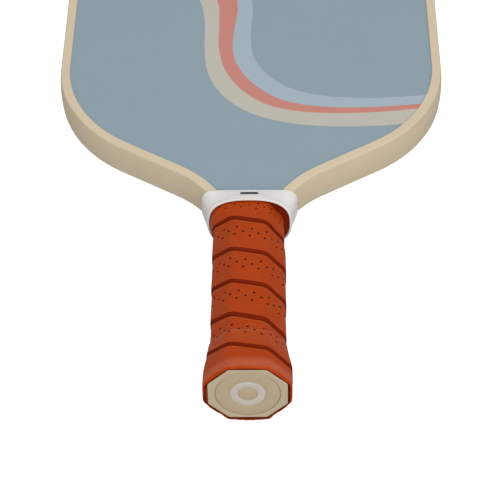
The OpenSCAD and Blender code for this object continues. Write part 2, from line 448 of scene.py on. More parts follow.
def clean(mesh, merge=0.004):
    """Joins points that meet, drops faces with no area and turns all faces outwards."""
    bm = bmesh.new()
    bm.from_mesh(mesh)
    bmesh.ops.remove_doubles(bm, verts=bm.verts, dist=merge * MM)
    bmesh.ops.dissolve_degenerate(bm, edges=bm.edges, dist=0.25 * merge * MM)
    loose = [v for v in bm.verts if not v.link_faces]
    bmesh.ops.delete(bm, geom=loose, context="VERTS")
    bmesh.ops.recalc_face_normals(bm, faces=bm.faces)
    bm.to_mesh(mesh)
    bm.free()


def soften(mesh, crease):
    """Shades a mesh smooth, but for edges sharper than the crease in degrees."""
    mesh.shade_smooth()
    mesh.set_sharp_from_angle(angle=math.radians(crease))


def rings(loops, closed_ends=True):
    """Faces that join loops of equal length, one after the other, with a cap at each end."""
    points = [p for loop in loops for p in loop]
    n = len(loops[0])
    faces = []
    for k in range(len(loops) - 1):
        for i in range(n):
            j = (i + 1) % n
            faces.append((k * n + i, k * n + j, (k + 1) * n + j, (k + 1) * n + i))
    if closed_ends:
        faces.append(tuple(range(n)))
        faces.append(tuple((len(loops) - 1) * n + i for i in range(n)))
    return points, faces


def fillet(corners, steps=5):
    """A closed outline from (x, y, radius) corners, each corner rounded by its radius."""
    out = []
    count = len(corners)
    for i, (x, y, r) in enumerate(corners):
        if r <= 0:
            out.append(Vector((x, y)))
            continue
        here = Vector((x, y))
        before = (Vector(corners[i - 1][:2]) - here).normalized()
        after = (Vector(corners[(i + 1) % count][:2]) - here).normalized()
        half = before.angle(after) / 2
        centre = here + (before + after).normalized() * r / math.sin(half)
        start = here + before * r / math.tan(half) - centre
        swing = start.angle_signed(here + after * r / math.tan(half) - centre)
        for k in range(steps + 1):
            out.append(centre + Matrix.Rotation(-swing * k / steps, 2) @ start)
    return out


def arc(centre, r, start, end, step=ARC_STEP):
    n = max(1, math.ceil(abs(end - start) / step - 1e-6))
    angles = [math.radians(mix(start, end, i / n)) for i in range(n + 1)]
    return [centre + r * Vector((math.cos(a), math.sin(a))) for a in angles]


def outline_facts():
    """Centres and limits of the head's arcs, from its driving sizes."""
    slope = math.radians(SHOULDER_SLOPE)
    lean = math.radians(SIDE_LEAN)
    shoulder_n = Vector((math.sin(slope), -math.cos(slope)))
    shoulder_dir = Vector((math.cos(slope), math.sin(slope)))
    side_n = Vector((math.cos(lean), math.sin(lean)))
    side_dir = Vector((-math.sin(lean), math.cos(lean)))
    throat_c = CORNER_C + (CORNER_R + THROAT_R) * shoulder_n - SHOULDER_LEN * shoulder_dir
    from_crown = CORNER_C + (CORNER_R - TOP_CORNER_R) * side_n - CROWN_C
    along = from_crown.dot(side_dir)
    reach = (CROWN_R - TOP_CORNER_R) ** 2 - from_crown.length_squared
    side_len = -along + math.sqrt(along ** 2 + reach)
    top_corner_c = CROWN_C + from_crown + side_len * side_dir
    offset = top_corner_c - CROWN_C
    return throat_c, top_corner_c, math.degrees(math.atan2(offset.y, offset.x))


THROAT_C, TOP_CORNER_C, CROWN_START = outline_facts()


def head_chain(inset, throat_from):
    """The right half of the outline, from the throat up to the middle of the crown."""
    chain = []
    if throat_from is not None:
        chain += arc(THROAT_C, THROAT_R + inset, throat_from, SHOULDER_SLOPE + 90)
    chain += arc(CORNER_C, CORNER_R - inset, SHOULDER_SLOPE - 90, SIDE_LEAN)
    chain += arc(TOP_CORNER_C, TOP_CORNER_R - inset, SIDE_LEAN, CROWN_START)
    chain += arc(CROWN_C, CROWN_R - inset, CROWN_START, 90)
    return chain


def whole(chain):
    return chain + [Vector((-p.x, p.y)) for p in reversed(chain[:-1])]


LIP_ROUND = 0.8


def guard_wall(steps, room=0.0):
    """Points (inset, height) down the guard's bulged wall, with room added outside it."""
    taller = (GUARD_HALF + room) / GUARD_HALF
    turns = [GUARD_SWEEP * (1 - 2 * i / steps) for i in range(steps + 1)]
    return [(GUARD_WALL_R * (1 - math.cos(a)) - room, GUARD_WALL_R * math.sin(a) * taller) for a in turns]


def guard_section():
    """The guard's section as (inset, height): bulged wall, flat lips with rounded edges and the slot."""
    half = GUARD_HALF
    rise = 0.08
    under = FACE_Z + 0.01
    wall = [(x, z, 0.0) for x, z in guard_wall(10)]
    wall[0] = (*wall[0][:2], LIP_ROUND)
    wall[-1] = (*wall[-1][:2], LIP_ROUND)
    lip = [
        (GUARD_SLOT, under, 0.0),
        (GUARD_DEPTH, under, 0.0),
        (GUARD_DEPTH, half + rise * 0.6, 0.3),
        (GUARD_DEPTH - 0.45, half + rise, 0.35),
        (GUARD_DEPTH - 1.1, half, 1.2),
    ]
    return fillet(wall + [(x, -z, round_r) for x, z, round_r in reversed(lip)] + lip, 4)


def swept(section, first_y):
    """Loops of a section of (inset, height), carried round the head from one guard end to the other."""
    start = 180 - math.degrees(math.asin((first_y - THROAT_C.y) / THROAT_R))
    rails = [[(p.x, p.y, s.y) for p in whole(head_chain(s.x, start))] for s in section]
    return [[rail[i] for rail in rails] for i in range(len(rails[0]))]


def edge_guard():
    shape = rings(swept(guard_section(), GUARD_END_Y))
    return put("edge_guard_band", shape, [guard_rubber()], "edge_guard")


# Bands of ink: each edge line is a smooth curve through a few points (x, y)
BAND_LINES = {
    "grey_edge": [
        (-99, 334), (-71, 326.5), (-49.5, 311.5), (-33.5, 290), (-27.3, 274), (-25, 257), (-24.9, 238),
        (-22.6, 217.2), (-15, 200.5), (-3, 188.3), (12.5, 180.6), (31, 176.5), (53, 175.6), (78, 177.2),
        (103, 183),
    ],
    "grey_coral": [
        (-99, 342.5), (-63, 331), (-40.5, 314), (-24.5, 291), (-18.1, 274.5), (-17.3, 257), (-17.2, 238),
        (-13.6, 220), (-5, 204.5), (8, 193), (22, 188), (37.5, 186), (56, 185.9), (78, 187.7), (103, 192),
    ],
    "coral_light": [
        (-99, 354), (-51.5, 336.5), (-25.7, 314), (-11, 291), (-7.5, 272), (-9.2, 251), (-9.6, 234),
        (-5.6, 220), (4, 206), (15.7, 196.7), (31, 191.8), (53, 190.1), (78, 191.4), (103, 195),
    ],
    "light_blue": [
        (-99, 366), (-69, 356.5), (-36.5, 340), (-13, 316.5), (-2, 292), (0.8, 268.5), (-0.3, 246),
        (2.2, 228.2), (10.5, 214), (22, 204.6), (37.5, 199.4), (60, 197.3), (84, 198.6), (103, 202),
    ],
}
# Each ink with its lower and upper edge; a later one lies on the ones before it
BANDS = (
    ("grey", "grey_edge", "coral_light"),
    ("coral", "grey_coral", "light_blue"),
    ("light_blue", "coral_light", "light_blue"),
)
INK_T = 0.02
INK_LIFT = 0.002
INK_INSET = 4.4


def curve_through(points, steps=10):
    """A centripetal Catmull-Rom curve through the points."""
    knots = [Vector(p) for p in points]
    knots = [2 * knots[0] - knots[1]] + knots + [2 * knots[-1] - knots[-2]]
    out = []
    for k in range(1, len(knots) - 2):
        a, b, c, d = knots[k - 1:k + 3]
        t0 = 0.0
        t1 = t0 + math.sqrt((b - a).length)
        t2 = t1 + math.sqrt((c - b).length)
        t3 = t2 + math.sqrt((d - c).length)
        for i in range(steps):
            t = mix(t1, t2, i / steps)
            ab = a.lerp(b, (t - t0) / (t1 - t0))
            bc = b.lerp(c, (t - t1) / (t2 - t1))
            cd = c.lerp(d, (t - t2) / (t3 - t2))
            first = ab.lerp(bc, (t - t0) / (t2 - t0))
            second = bc.lerp(cd, (t - t1) / (t3 - t1))
            out.append(first.lerp(second, (t - t1) / (t2 - t1)))
    out.append(knots[-2])
    return out


def clipped(polygon, window):
    """The part of a polygon inside a convex window that runs anticlockwise."""
    out = list(polygon)
    for i, a in enumerate(window):
        b = window[(i + 1) % len(window)]
        along = b - a
        if along.length < 1e-9:
            continue
        kept = []
        for j, q in enumerate(out):
            p = out[j - 1]
            side_p = along.cross(p - a)
            side_q = along.cross(q - a)
            if (side_p > 0) != (side_q > 0):
                kept.append(p.lerp(q, side_p / (side_p - side_q)))
            if side_q > 0:
                kept.append(q)
        out = kept
    return out


def ink_band(name, lower, upper, level, material, side):
    """One colour of ink between two edge lines, a thin layer on the front (side 1) or the back (side -1)."""
    window = whole(head_chain(INK_INSET, None))
    shape = clipped(curve_through(BAND_LINES[lower]) + curve_through(BAND_LINES[upper])[::-1], window)
    top = FACE_Z + INK_T * level
    flat = [(side * p.x, p.y) for p in shape]
    loops = [[(x, y, side * z) for x, y in flat] for z in (FACE_Z + INK_LIFT, top)]
    return put(name, rings(loops), [material], "printed_film", "", crease=20.0)


def printed_bands():
    inks = {"grey": grey_ink(), "coral": coral_ink(), "light_blue": light_blue_ink()}
    for face, side in (("front", 1), ("back", -1)):
        for level, (ink, lower, upper) in enumerate(BANDS, 1):
            ink_band(f"ink_{ink}_{face}", lower, upper, level, inks[ink], side)


# Handle

def eight_corners(w, h, bevel):
    """Corners of a bevelled oblong of half sizes w and h, clockwise from the top left."""
    x = w - bevel
    y = h - bevel
    return [(-x, h), (x, h), (w, y), (w, -y), (x, -h), (-x, -h), (-w, -y), (-w, y)]


def handle_segments():
    """The handle's flats and rounded corners: (length, from, to, outward angle at each end)."""
    w = HANDLE_W / 2 - HANDLE_ROUND
    h = HANDLE_T / 2 - HANDLE_ROUND
    corners = eight_corners(w, h, HANDLE_BEVEL - HANDLE_ROUND * LEVEL)
    outer = HANDLE_ROUND + STRIP_T
    segments = []
    for i in range(8):
        a = Vector(corners[i])
        c = Vector(corners[(i + 1) % 8])
        segments.append(((c - a).length, a, c, 45.0 * i, 45.0 * i))
        segments.append((outer * math.radians(45), c, c, 45.0 * i, 45.0 * (i + 1)))
    return segments


SEGMENTS = handle_segments()
GIRTH = sum(s[0] for s in SEGMENTS)


def segment_at(s):
    """The flat or corner at distance s round the handle, and how far along it that is."""
    s %= GIRTH
    for segment in SEGMENTS:
        if s <= segment[0]:
            return segment, s
        s -= segment[0]
    return SEGMENTS[0], 0.0


def around(s):
    """The point of the handle's core line at distance s round it, and the outward direction there."""
    (length, a, c, start, end), s = segment_at(s)
    t = s / length
    angle = math.radians(mix(start, end, t))
    return a.lerp(c, t), Vector((math.sin(angle), math.cos(angle)))


# Growth of the butt's flare along the handle, as (y, growth): outside the wrap, with the low ridge over the
# cap's rim, and inside it
FLARE_OUT = (
    (0.3, 2.05), (0.45, 2.5), (0.7, 2.85), (1.0, 3.0), (2.0, 3.05), (4.2, 3.1), (7.0, 3.1), (10.0, 3.0),
    (14.0, 2.6), (18.0, 1.95), (22.5, 1.2), (24.0, 0.99), (25.2, 0.88), (26.2, 0.82), (26.8, 0.7),
    (27.3, 0.46), (28.0, 0.24), (29.0, 0.12), (31.0, 0.03), (34.0, 0.0),
)
FLARE_IN = (
    (0.3, 2.65), (2.2, 2.68), (4.2, 2.95), (6.0, 3.05), (10.0, 2.95), (14.0, 2.55), (18.0, 1.9), (22.5, 1.1),
    (27.0, 0.4), (28.0, 0.3), (34.0, 0.0),
)


def flare(y, profile=FLARE_OUT):
    """How far the butt's flare stands out from the straight handle."""
    if y <= profile[0][0]:
        return profile[0][1]
    for (y0, g0), (y1, g1) in zip(profile, profile[1:]):
        if y <= y1:
            return mix(g0, g1, (y - y0) / (y1 - y0))
    return 0.0


# Extra height of the wrap at the butt end: in the middle of the flats, as a share of a sharp corner's, and
# all over the underside
FLAT_BULGE = 0.5
FACET = 0.6
UNDERSIDE_BULGE = 1.7
UNDERSIDE_FROM = 0.55


def bulge(s, y):
    """Extra height near the butt, where the wrap is drawn over the cap: fuller flats and crisper corners."""
    near_plate = (1 - smooth((y - 1) / 8)) * mix(0.4, 1.0, smooth((y - STRIP_START_Y) / 0.9))
    on_flare = 1 - smooth((y - 8) / 18)
    (length, _, _, start, end), s = segment_at(s)
    facing = math.radians(mix(start, end, s / length))
    below = smooth((-math.cos(facing) - UNDERSIDE_FROM) / 0.45)
    extra = UNDERSIDE_BULGE * below * near_plate
    if start == end:
        across = 2 * s / length - 1
        return extra + FLAT_BULGE * (1 - across ** 2) * near_plate * abs(math.cos(facing))
    turn = math.radians(min(s, length - s) / length * 45)
    corner_r = HANDLE_ROUND + STRIP_T + flare(y)
    return extra + FACET * on_flare * corner_r * (1 / math.cos(turn) - 1)


def opening_room(s):
    """How far the collar's opening is from the handle's core line, outwards at s."""
    core, out = around(s)
    low = 0.0
    high = 15.0
    for _ in range(25):
        t = (low + high) / 2
        p = core + out * t
        reach = abs(p.x / OPENING_HALF[0]) ** OVAL_POWER + abs(p.y / OPENING_HALF[1]) ** OVAL_POWER
        low, high = (t, high) if reach < 1 else (low, t)
    return low - HANDLE_ROUND


ROOM_STEPS = 400
ROOM = [opening_room(GIRTH * i / ROOM_STEPS) for i in range(ROOM_STEPS + 1)]


def fill(s):
    """The height that fills the collar's opening at s."""
    place = (s % GIRTH) / GIRTH * ROOM_STEPS
    i = min(int(place), ROOM_STEPS - 1)
    return mix(ROOM[i], ROOM[i + 1], place - i)


DRAWN_IN = 0.85
TAIL_ROOM = 2.15


def drawn_in(s, y):
    """How far the wrap is drawn in below the collar, on the side away from the strip's end."""
    s %= GIRTH
    round_handle = smooth((s - 13) / 12) * (1 - smooth((s - 70) / 15))
    return DRAWN_IN * round_handle * smooth((y - 89) / 8)


def tail_swell(along, s, y):
    """How far the strip's tail stands up to fill the collar's opening."""
    near_end = (1 - smooth((along - 2) / 16)) * smooth((y - TAIL_Y) / 9)
    return (fill(s) - TAIL_ROOM + drawn_in(s, y)) * near_end


def on_handle(s, y, height):
    """A point at a height above the handle's flats, at s round it and y along it."""
    core, out = around(s)
    p = core + out * (HANDLE_ROUND + height)
    return (p.x, y, p.y)


SLANT = math.atan(TURN_PITCH / GIRTH)
PITCH_ACROSS = TURN_PITCH * math.cos(SLANT)
STRIP_W = PITCH_ACROSS + LAP


# Thickness of the skived edge, its rise past the riser, and how far from the lap the surface dips
SKIVED_T = 0.3
CREST = 0.08
DIP_RUN = 1.6


def strip_top(w, y):
    """Height of the strip's outside: w across it from the edge that shows, y along the handle."""
    if w > PITCH_ACROSS:
        height = mix(STRIP_T - DIP, SKIVED_T, (w - PITCH_ACROSS) / LAP)
    elif w < RISER_RUN:
        height = mix(RISER_FOOT, LAP_T, w / RISER_RUN)
    else:
        slope = (w - RISER_RUN) / (PITCH_ACROSS - RISER_RUN)
        height = mix(LAP_T, STRIP_T, slope) + CREST * smooth((w - RISER_RUN) / 0.7) * (1 - slope)
        height -= DIP * smooth((w - PITCH_ACROSS + DIP_RUN) / DIP_RUN)
    return height + flare(y)


def strip_under(w, y):
    """Height of the strip's underside: over the next turn's skived edge, then on the handle."""
    if w < LAP:
        height = mix(STRIP_T - DIP, SKIVED_T, w / LAP) + 0.04
    else:
        height = mix(0.34, 0.03, smooth((w - LAP) / 2.0))
    return height + flare(y, FLARE_IN)


RISER_ROWS = 5
LAP_ROWS = 4


def strip_rows():
    """Places across the strip: the riser, even steps that the perforations fit, and the hidden edge."""
    top = [0.0, 0.35, 0.8, 1.3, 1.8, RISER_RUN, RISER_RUN + 0.3]
    first_hole_row = PITCH_ACROSS - HOLES_FROM_LAP - 2 * STEP_ACROSS
    lead = []
    w = first_hole_row
    while w > RISER_RUN + 0.6:
        lead.append(w)
        w -= STEP_ACROSS
    top += lead[::-1]
    base = len(top) - 1
    w = first_hole_row + STEP_ACROSS
    while w < PITCH_ACROSS - 0.3:
        top.append(w)
        w += STEP_ACROSS
    top += [PITCH_ACROSS + LAP * k / LAP_ROWS for k in range(LAP_ROWS + 1)]
    under = [STRIP_W - (STRIP_W - LAP - 2.0) * k / 7 for k in range(8)]
    under += [LAP + 1.0, LAP, LAP * 0.5, 0.0]
    return top, under, base


def uneven(y):
    """Where an even winding's place ends up: a tighter tail, and one turn drawn down at the flare."""
    tail = max(0.0, y - TAIL_Y)
    drawn_down = 1.1 * math.exp(-((y - 31) / 7) ** 2)
    return y - (1 - TAIL_SHRINK) * tail * smooth(tail / 3) - drawn_down


def even(y):
    """The reverse of uneven(), by halving."""
    low = y - 5
    high = y + 15
    for _ in range(30):
        middle = (low + high) / 2
        low, high = (middle, high) if uneven(middle) < y else (low, middle)
    return low


EVEN_START = even(STRIP_START_Y)
EVEN_END = even(STRIP_END_Y)


def strip_point(along, across, outside, depth=0.0):
    """A point of the strip, cut off level at both ends of the wrap, and whether it was cut."""
    y = SEAM_Y - along * math.sin(SLANT) + across * math.cos(SLANT)
    cut = min(max(y, EVEN_START), EVEN_END)
    w = across + (cut - y) / math.cos(SLANT)
    s = (along * math.cos(SLANT) + w * math.sin(SLANT)) % GIRTH
    place = uneven(cut)
    sink = drawn_in(s, place)
    swell = tail_swell(along, s, place) * min(w / RISER_RUN, 1.0)
    height = max(0.12, strip_top(w, place) + swell + bulge(s, place) - sink) - depth
    if not outside:
        height = max(0.03, min(strip_under(w, place) - sink, height - 0.06))
    return on_handle(s, place, height), cut != y


def strip_columns():
    """Places along the strip, head end first, in steps that the perforations fit, and the first hole's."""
    first = (SEAM_Y - EVEN_END) / math.sin(SLANT)
    last = (SEAM_Y - EVEN_START + STRIP_W * math.cos(SLANT)) / math.sin(SLANT)
    step = GIRTH / math.cos(SLANT) / TURN_STEPS
    ahead = [FIRST_HOLE + step * k for k in range(math.ceil((last - FIRST_HOLE) / step))] + [last]
    behind = [FIRST_HOLE - step * k for k in range(1, math.ceil((FIRST_HOLE - first) / step))] + [first]
    return behind[::-1] + ahead, len(behind)


def strip_holes(count, start, base, plain_from):
    """Where the perforations start: square blocks of cells in three rows, the middle one half a step on."""
    blocks = []
    for i in range(2, min(count - 6, plain_from)):
        place = (i - start) % HOLE_STEPS
        if place == 0:
            blocks += [(i, base), (i, base + 2 * BLOCK)]
        if place == HOLE_STEPS // 2:
            blocks.append((i, base + BLOCK))
    return blocks


# The rim of a hole's block, as steps from its middle
RIM_STEPS = (
    [(2, k) for k in range(0, 3)] + [(k, 2) for k in (1, 0, -1, -2)] + [(-2, k) for k in (1, 0, -1, -2)]
    + [(k, -2) for k in (-1, 0, 1, 2)] + [(2, -1)]
)


def grip_strip():
    """One strip wound round the handle from the butt to the collar, each turn lapped by the next."""
    top, under, base = strip_rows()
    columns, start = strip_columns()
    count = len(columns)
    rows = len(top) + len(under)
    points = []
    cut = []
    for along in columns:
        for w, outside in [(w, True) for w in top] + [(w, False) for w in under]:
            p, was_cut = strip_point(along, w, outside)
            points.append(p)
            cut.append(was_cut)
    plain_from = sum(1 for along in columns if along < (SEAM_Y - PLAIN_Y) / math.sin(SLANT))
    taken = set()
    faces = []
    indices = []
    for i0, j0 in strip_holes(count, start, base, plain_from):
        if any(cut[(i0 + a) * rows + j0 + b] for a in range(BLOCK + 1) for b in range(BLOCK + 1)):
            continue
        taken |= {(i0 + a, j0 + b) for a in range(BLOCK) for b in range(BLOCK)}
        add_hole(points, faces, indices, columns, rows, top, i0 + BLOCK // 2, j0 + BLOCK // 2)
    # The row beside each lap takes a painted highlight
    rubbed_row = len(top) - LAP_ROWS - 2
    for i in range(count - 1):
        for j in range(rows):
            if (i, j) in taken:
                continue
            k = (j + 1) % rows
            faces.append((i * rows + j, i * rows + k, (i + 1) * rows + k, (i + 1) * rows + j))
            indices.append(strip_material(j, rows, rubbed_row, cut[i * rows + j] and cut[i * rows + k]))
    finishes = [wrap_leather(), skived_edge(), hole_inside(), lap_line(), rubbed_leather()]
    made = put("grip_strip", (points, faces), finishes, "grip_wrap", None, indices, 50.0)
    return made


# Places of the strip's materials in its slots
# The fourth slot is a painted shadow line at the riser's foot and on the cut ends, the third painted shade
# inside the holes, the fifth a painted highlight beside each lap
LEATHER, EDGE, PUNCHED, FOOT, RUBBED = range(5)


def strip_material(j, rows, rubbed_row, cut):
    """The cut edge on the riser, a painted shadow line at its foot and on the level ends, a painted
    highlight row at the lap.
    """
    if cut or j in (0, rows - 1):
        return FOOT
    if j == rubbed_row:
        return RUBBED
    return EDGE if j < RISER_ROWS else LEATHER


def add_hole(points, faces, indices, columns, rows, top, ci, cj):
    """One punched hole: a ring of faces from the block's rim to the hole, its wall and its floor."""
    loops = [[(ci + a) * rows + cj + b for a, b in RIM_STEPS]]
    for r, depth in ((0.85, 0.0), (HOLE_R, 0.0), (HOLE_R * 0.93, 0.12), (HOLE_R * 0.9, HOLE_DEPTH)):
        first = len(points)
        for k in range(16):
            a = math.radians(22.5 * k)
            along = columns[ci] + r * math.cos(a)
            p, _ = strip_point(along, top[cj] + r * math.sin(a), True, depth)
            points.append(p)
        loops.append(list(range(first, first + 16)))
    for n, (a, b) in enumerate(zip(loops, loops[1:])):
        for k in range(16):
            m = (k + 1) % 16
            faces.append((a[k], a[m], b[m], b[k]))
            # The hole's wall and floor take the painted shade
            indices.append(PUNCHED if n > 1 else LEATHER)
    faces.append(tuple(loops[-1]))
    indices.append(PUNCHED)


def finishing_tape():
    """A turn of tape that holds the strip's end down inside the collar."""
    places = [GIRTH * i / 160 for i in range(160)]
    section = (
        (114.9, 0.0), (114.9, 0.1), (115.0, 0.12), (115.8, 0.12), (116.0, 0.1), (116.0, 0.0), (114.9, 0.0),
    )
    loops = [[on_handle(s, y, fill(s) - 0.14 + lift) for s in places] for y, lift in section]
    shape = rings(loops, closed_ends=False)
    return put("finishing_tape_turn", shape, [vinyl_tape()], "tape", "finishing_tape")


# Butt

def plate_outline():
    """The end plate's outline at its face, as (x, 0, z)."""
    corners = eight_corners(PLATE_W / 2, PLATE_H / 2, PLATE_BEVEL)
    return [(p.x, 0.0, p.y) for p in fillet([(x, y, PLATE_ROUND) for x, y in corners[1:] + corners[:1]])]


def circle_like(loop, r, y):
    """A round loop with one point for each point of another loop, in the same directions."""
    angles = [math.atan2(p[2], p[0]) for p in loop]
    return [(r * math.cos(a), y, r * math.sin(a)) for a in angles]


def dense(loop, gap=0.8):
    """The same loop with more points on its long straights."""
    out = []
    for i, p in enumerate(loop):
        q = loop[(i + 1) % len(loop)]
        n = max(1, round(math.dist(p, q) / gap))
        out += [tuple(mix(a, b, k / n) for a, b in zip(p, q)) for k in range(n)]
    return out


def butt_cap():
    """The end plate with eased edges, a shallow round recess and the plug that the wrap is drawn over."""
    guide = dense(plate_outline())
    loops = [circle_like(guide, r, y) for r, y in (
        (BADGE_R - 0.1, BADGE_BACK_Y), (BADGE_R, BADGE_BACK_Y - 0.05), (BADGE_R, 0.2),
        (BADGE_R + 0.12, 0.06), (BADGE_R + 0.3, 0.0),
    )]
    for k in range(6):
        a = math.radians(90 - 18 * k)
        loops.append(resized(guide, PLATE_EASE * (1 - math.sin(a)), PLATE_EASE * (1 - math.cos(a))))
    loops.append(resized(guide, PLATE_T - 0.25, 0.0))
    loops.append(resized(guide, PLATE_T, 0.2))
    for y in (2.6, 4.2, 6.0, 10.0, 14.0, 18.0, 22.5, 26.0):
        loops.append(plug_ring(guide, y, flare(y, FLARE_IN) - 0.08))
    loops.append(plug_ring(guide, 27.0, flare(27.0, FLARE_IN) - 0.3))
    loops.append(plug_ring(guide, 27.0, 0.02))
    loops.append(plug_ring(guide, 3.2, 0.02))
    return put("butt_end_cap", rings(loops), [plate_plastic()], "butt_cap")


def resized(guide, y, pull_in):
    """The clockwise guide loop drawn in by a small, even amount."""
    out = []
    n = len(guide)
    for i, p in enumerate(guide):
        a = guide[i - 1]
        b = guide[(i + 1) % n]
        tangent = Vector((b[0] - a[0], b[2] - a[2])).normalized()
        out.append((p[0] + tangent.y * pull_in, y, p[2] - tangent.x * pull_in))
    return out


def plug_ring(guide, y, height):
    """A ring of the plug inside the wrap, with one point for each point of the guide."""
    lengths = [0.0]
    for i, p in enumerate(guide):
        lengths.append(lengths[-1] + math.dist(p, guide[(i + 1) % len(guide)]))
    shift = nearest_s(guide[0][0], guide[0][2])
    return [on_handle(shift + GIRTH * l / lengths[-1], y, height) for l in lengths[:-1]]


def nearest_s(x, z):
    """The distance round the handle where it lies in the direction of (x, z) from its axis."""
    direction = math.atan2(x, z)

    def gap(k):
        core = on_handle(GIRTH * k / 720, 0.0, 0.0)
        turn = abs(math.atan2(core[0], core[2]) - direction)
        return min(turn, 2 * math.pi - turn)

    return GIRTH * min(range(720), key=gap) / 720


def turned(profile, count=160):
    """A shape turned about the handle's axis from (radius, y), closed at a zero radius or as a ring."""
    angles = [2 * math.pi * i / count for i in range(count)]
    loops = [[(r * math.cos(a), y, r * math.sin(a)) for a in angles] for r, y in profile]
    return rings(loops, closed_ends=False)


def eased(r_in, r_out, front, back, ease):
    """Profile of a flat ring with eased front edges, from the inside round to the inside again."""
    part = 0.3 * ease
    return [
        (r_in, back), (r_in, front + ease), (r_in + part, front + part), (r_in + ease, front),
        (r_out - ease, front), (r_out - part, front + part), (r_out, front + ease), (r_out, back),
        (r_in, back),
    ]


def butt_badge():
    """The round badge: its rim and middle are in one piece, with a channel for the pale ring."""
    edge = BADGE_R - 0.18
    channel = BADGE_Y + 0.4
    back = BADGE_BACK_Y - 0.06
    inner, outer = RING_R
    profile = [
        (0.0, BADGE_Y), (inner - 0.14, BADGE_Y), (inner - 0.04, BADGE_Y + 0.05), (inner, BADGE_Y + 0.15),
        (inner, channel), (outer, channel), (outer, BADGE_Y + 0.15), (outer + 0.04, BADGE_Y + 0.05),
        (outer + 0.14, BADGE_Y), (edge - 0.25, BADGE_Y), (edge - 0.08, BADGE_Y + 0.06),
        (edge, BADGE_Y + 0.2), (edge, back), (0.0, back),
    ]
    return put("butt_badge_disc", turned(profile), [badge_plastic()], "butt_badge")


def badge_ring():
    """The pale ring, let into the badge's channel."""
    shape = turned(eased(RING_R[0] + 0.05, RING_R[1] - 0.05, BADGE_Y - 0.03, BADGE_Y + 0.38, 0.12))
    return put("badge_ring_inlay", shape, [ring_plastic()], "badge_ring")


# Collar

def quarter(shape, count):
    """Evenly spaced points of a quarter loop, from the top middle to the side middle."""
    lengths = [0.0]
    for a, b in zip(shape, shape[1:]):
        lengths.append(lengths[-1] + (b - a).length)
    out = []
    k = 0
    for i in range(count):
        want = lengths[-1] * i / count
        while lengths[k + 1] < want:
            k += 1
        out.append(shape[k].lerp(shape[k + 1], (want - lengths[k]) / (lengths[k + 1] - lengths[k])))
    return out, shape[-1]


def four_quarters(shape, count=36):
    """A whole loop from a quarter shape, clockwise from the top middle."""
    right_top, end = quarter(shape, count)
    back_up = [end] + right_top[:0:-1]
    right_low = [Vector((p.x, -p.y)) for p in back_up]
    left_low = [Vector((-p.x, -p.y)) for p in right_top]
    left_top = [Vector((-p.x, p.y)) for p in back_up]
    return right_top + right_low + left_low + left_top


def oval_quarter(half):
    """A quarter of an oval that is fuller at its corners than an ellipse."""
    power = 2 / OVAL_POWER
    turn = [math.radians(90 * i / 200) for i in range(201)]
    return [Vector((half[0] * math.sin(a) ** power, half[1] * math.cos(a) ** power)) for a in turn]


def slab_quarter(half, r):
    """A quarter of an oblong with rounded corners."""
    centre = Vector((half[0] - r, half[1] - r))
    turn = [math.radians(90 - 3 * i) for i in range(31)]
    bend = [centre + r * Vector((math.cos(a), math.sin(a))) for a in turn]
    return [Vector((0, half[1]))] + bend + [Vector((half[0], 0))]


def grown(loop, amount):
    """A loop moved outwards by an even amount."""
    out = []
    n = len(loop)
    for i, p in enumerate(loop):
        tangent = (loop[(i + 1) % n] - loop[i - 1]).normalized()
        out.append(p + Vector((-tangent.y, tangent.x)) * amount)
    return out


# The collar's nose: (y, share of the way from opening to rim), then (y, growth) of the bead outside it
NOSE = (
    (STRIP_END_Y + 0.7, 0.0), (115.0, 0.0), (114.2, 0.02), (113.6, 0.08), (113.2, 0.2), (112.98, 0.36),
    (112.9, 0.55), (112.95, 0.78),
)
BEAD = ((113.1, 0.08), (113.4, 0.22), (113.8, 0.3), (114.3, 0.3), (114.9, 0.2), (115.6, 0.06), (116.4, 0.0))


def collar_loops():
    opening = four_quarters(oval_quarter(OPENING_HALF))
    rim = four_quarters(oval_quarter(RIM_HALF))
    far = four_quarters(slab_quarter((FAR_HALF[0] - FAR_ROUND, FAR_HALF[1] - FAR_ROUND), FAR_R - FAR_ROUND))
    far_out = grown(far, FAR_ROUND)
    loops = [[(p.x, y, p.y) for p in (a.lerp(b, t) for a, b in zip(opening, rim))] for y, t in NOSE]

    def ruled(y):
        t = (max(y, RIM_Y) - RIM_Y) / (FAR_Y - RIM_Y)
        return [a.lerp(b, t) for a, b in zip(rim, far_out)]

    loops += [[(p.x, y, p.y) for p in grown(ruled(y), d)] for y, d in BEAD]
    end_y = FAR_Y - FAR_ROUND
    start_y = BEAD[-1][0]
    steps = 10
    for k in range(1, steps + 1):
        y = mix(start_y, end_y, k / steps)
        loops.append([(p.x, y, p.y) for p in ruled(y)])
    last = ruled(end_y)
    for k in range(1, 7):
        a = math.radians(15 * k)
        ring = grown(last, -FAR_ROUND * (1 - math.cos(a)))
        loops.append([(p.x, end_y + FAR_ROUND * math.sin(a), p.y) for p in ring])
    return loops


def tool(name, loops):
    """A solid that is only used to cut another one."""
    made = solid(name, rings(loops))
    clean(made.data)
    return made


def cut_out(target, cutters):
    """Cuts the cutters out of the target's mesh and removes them."""
    for cutter in cutters:
        step = target.modifiers.new("cut", "BOOLEAN")
        step.operation = "DIFFERENCE"
        step.solver = "EXACT"
        step.object = cutter
    bpy.context.view_layer.update()
    seen = target.evaluated_get(bpy.context.evaluated_depsgraph_get())
    mesh = bpy.data.meshes.new_from_object(seen)
    target.modifiers.clear()
    target.data = mesh
    for cutter in cutters:
        bpy.data.objects.remove(cutter)


# Room round the blade and the guard where they go into the collar, half the blade's width there, and how far
# up the cutting shapes reach
CUT_ROOM = 0.03
TANG_HALF = 14.0
CUT_END_Y = 150.0


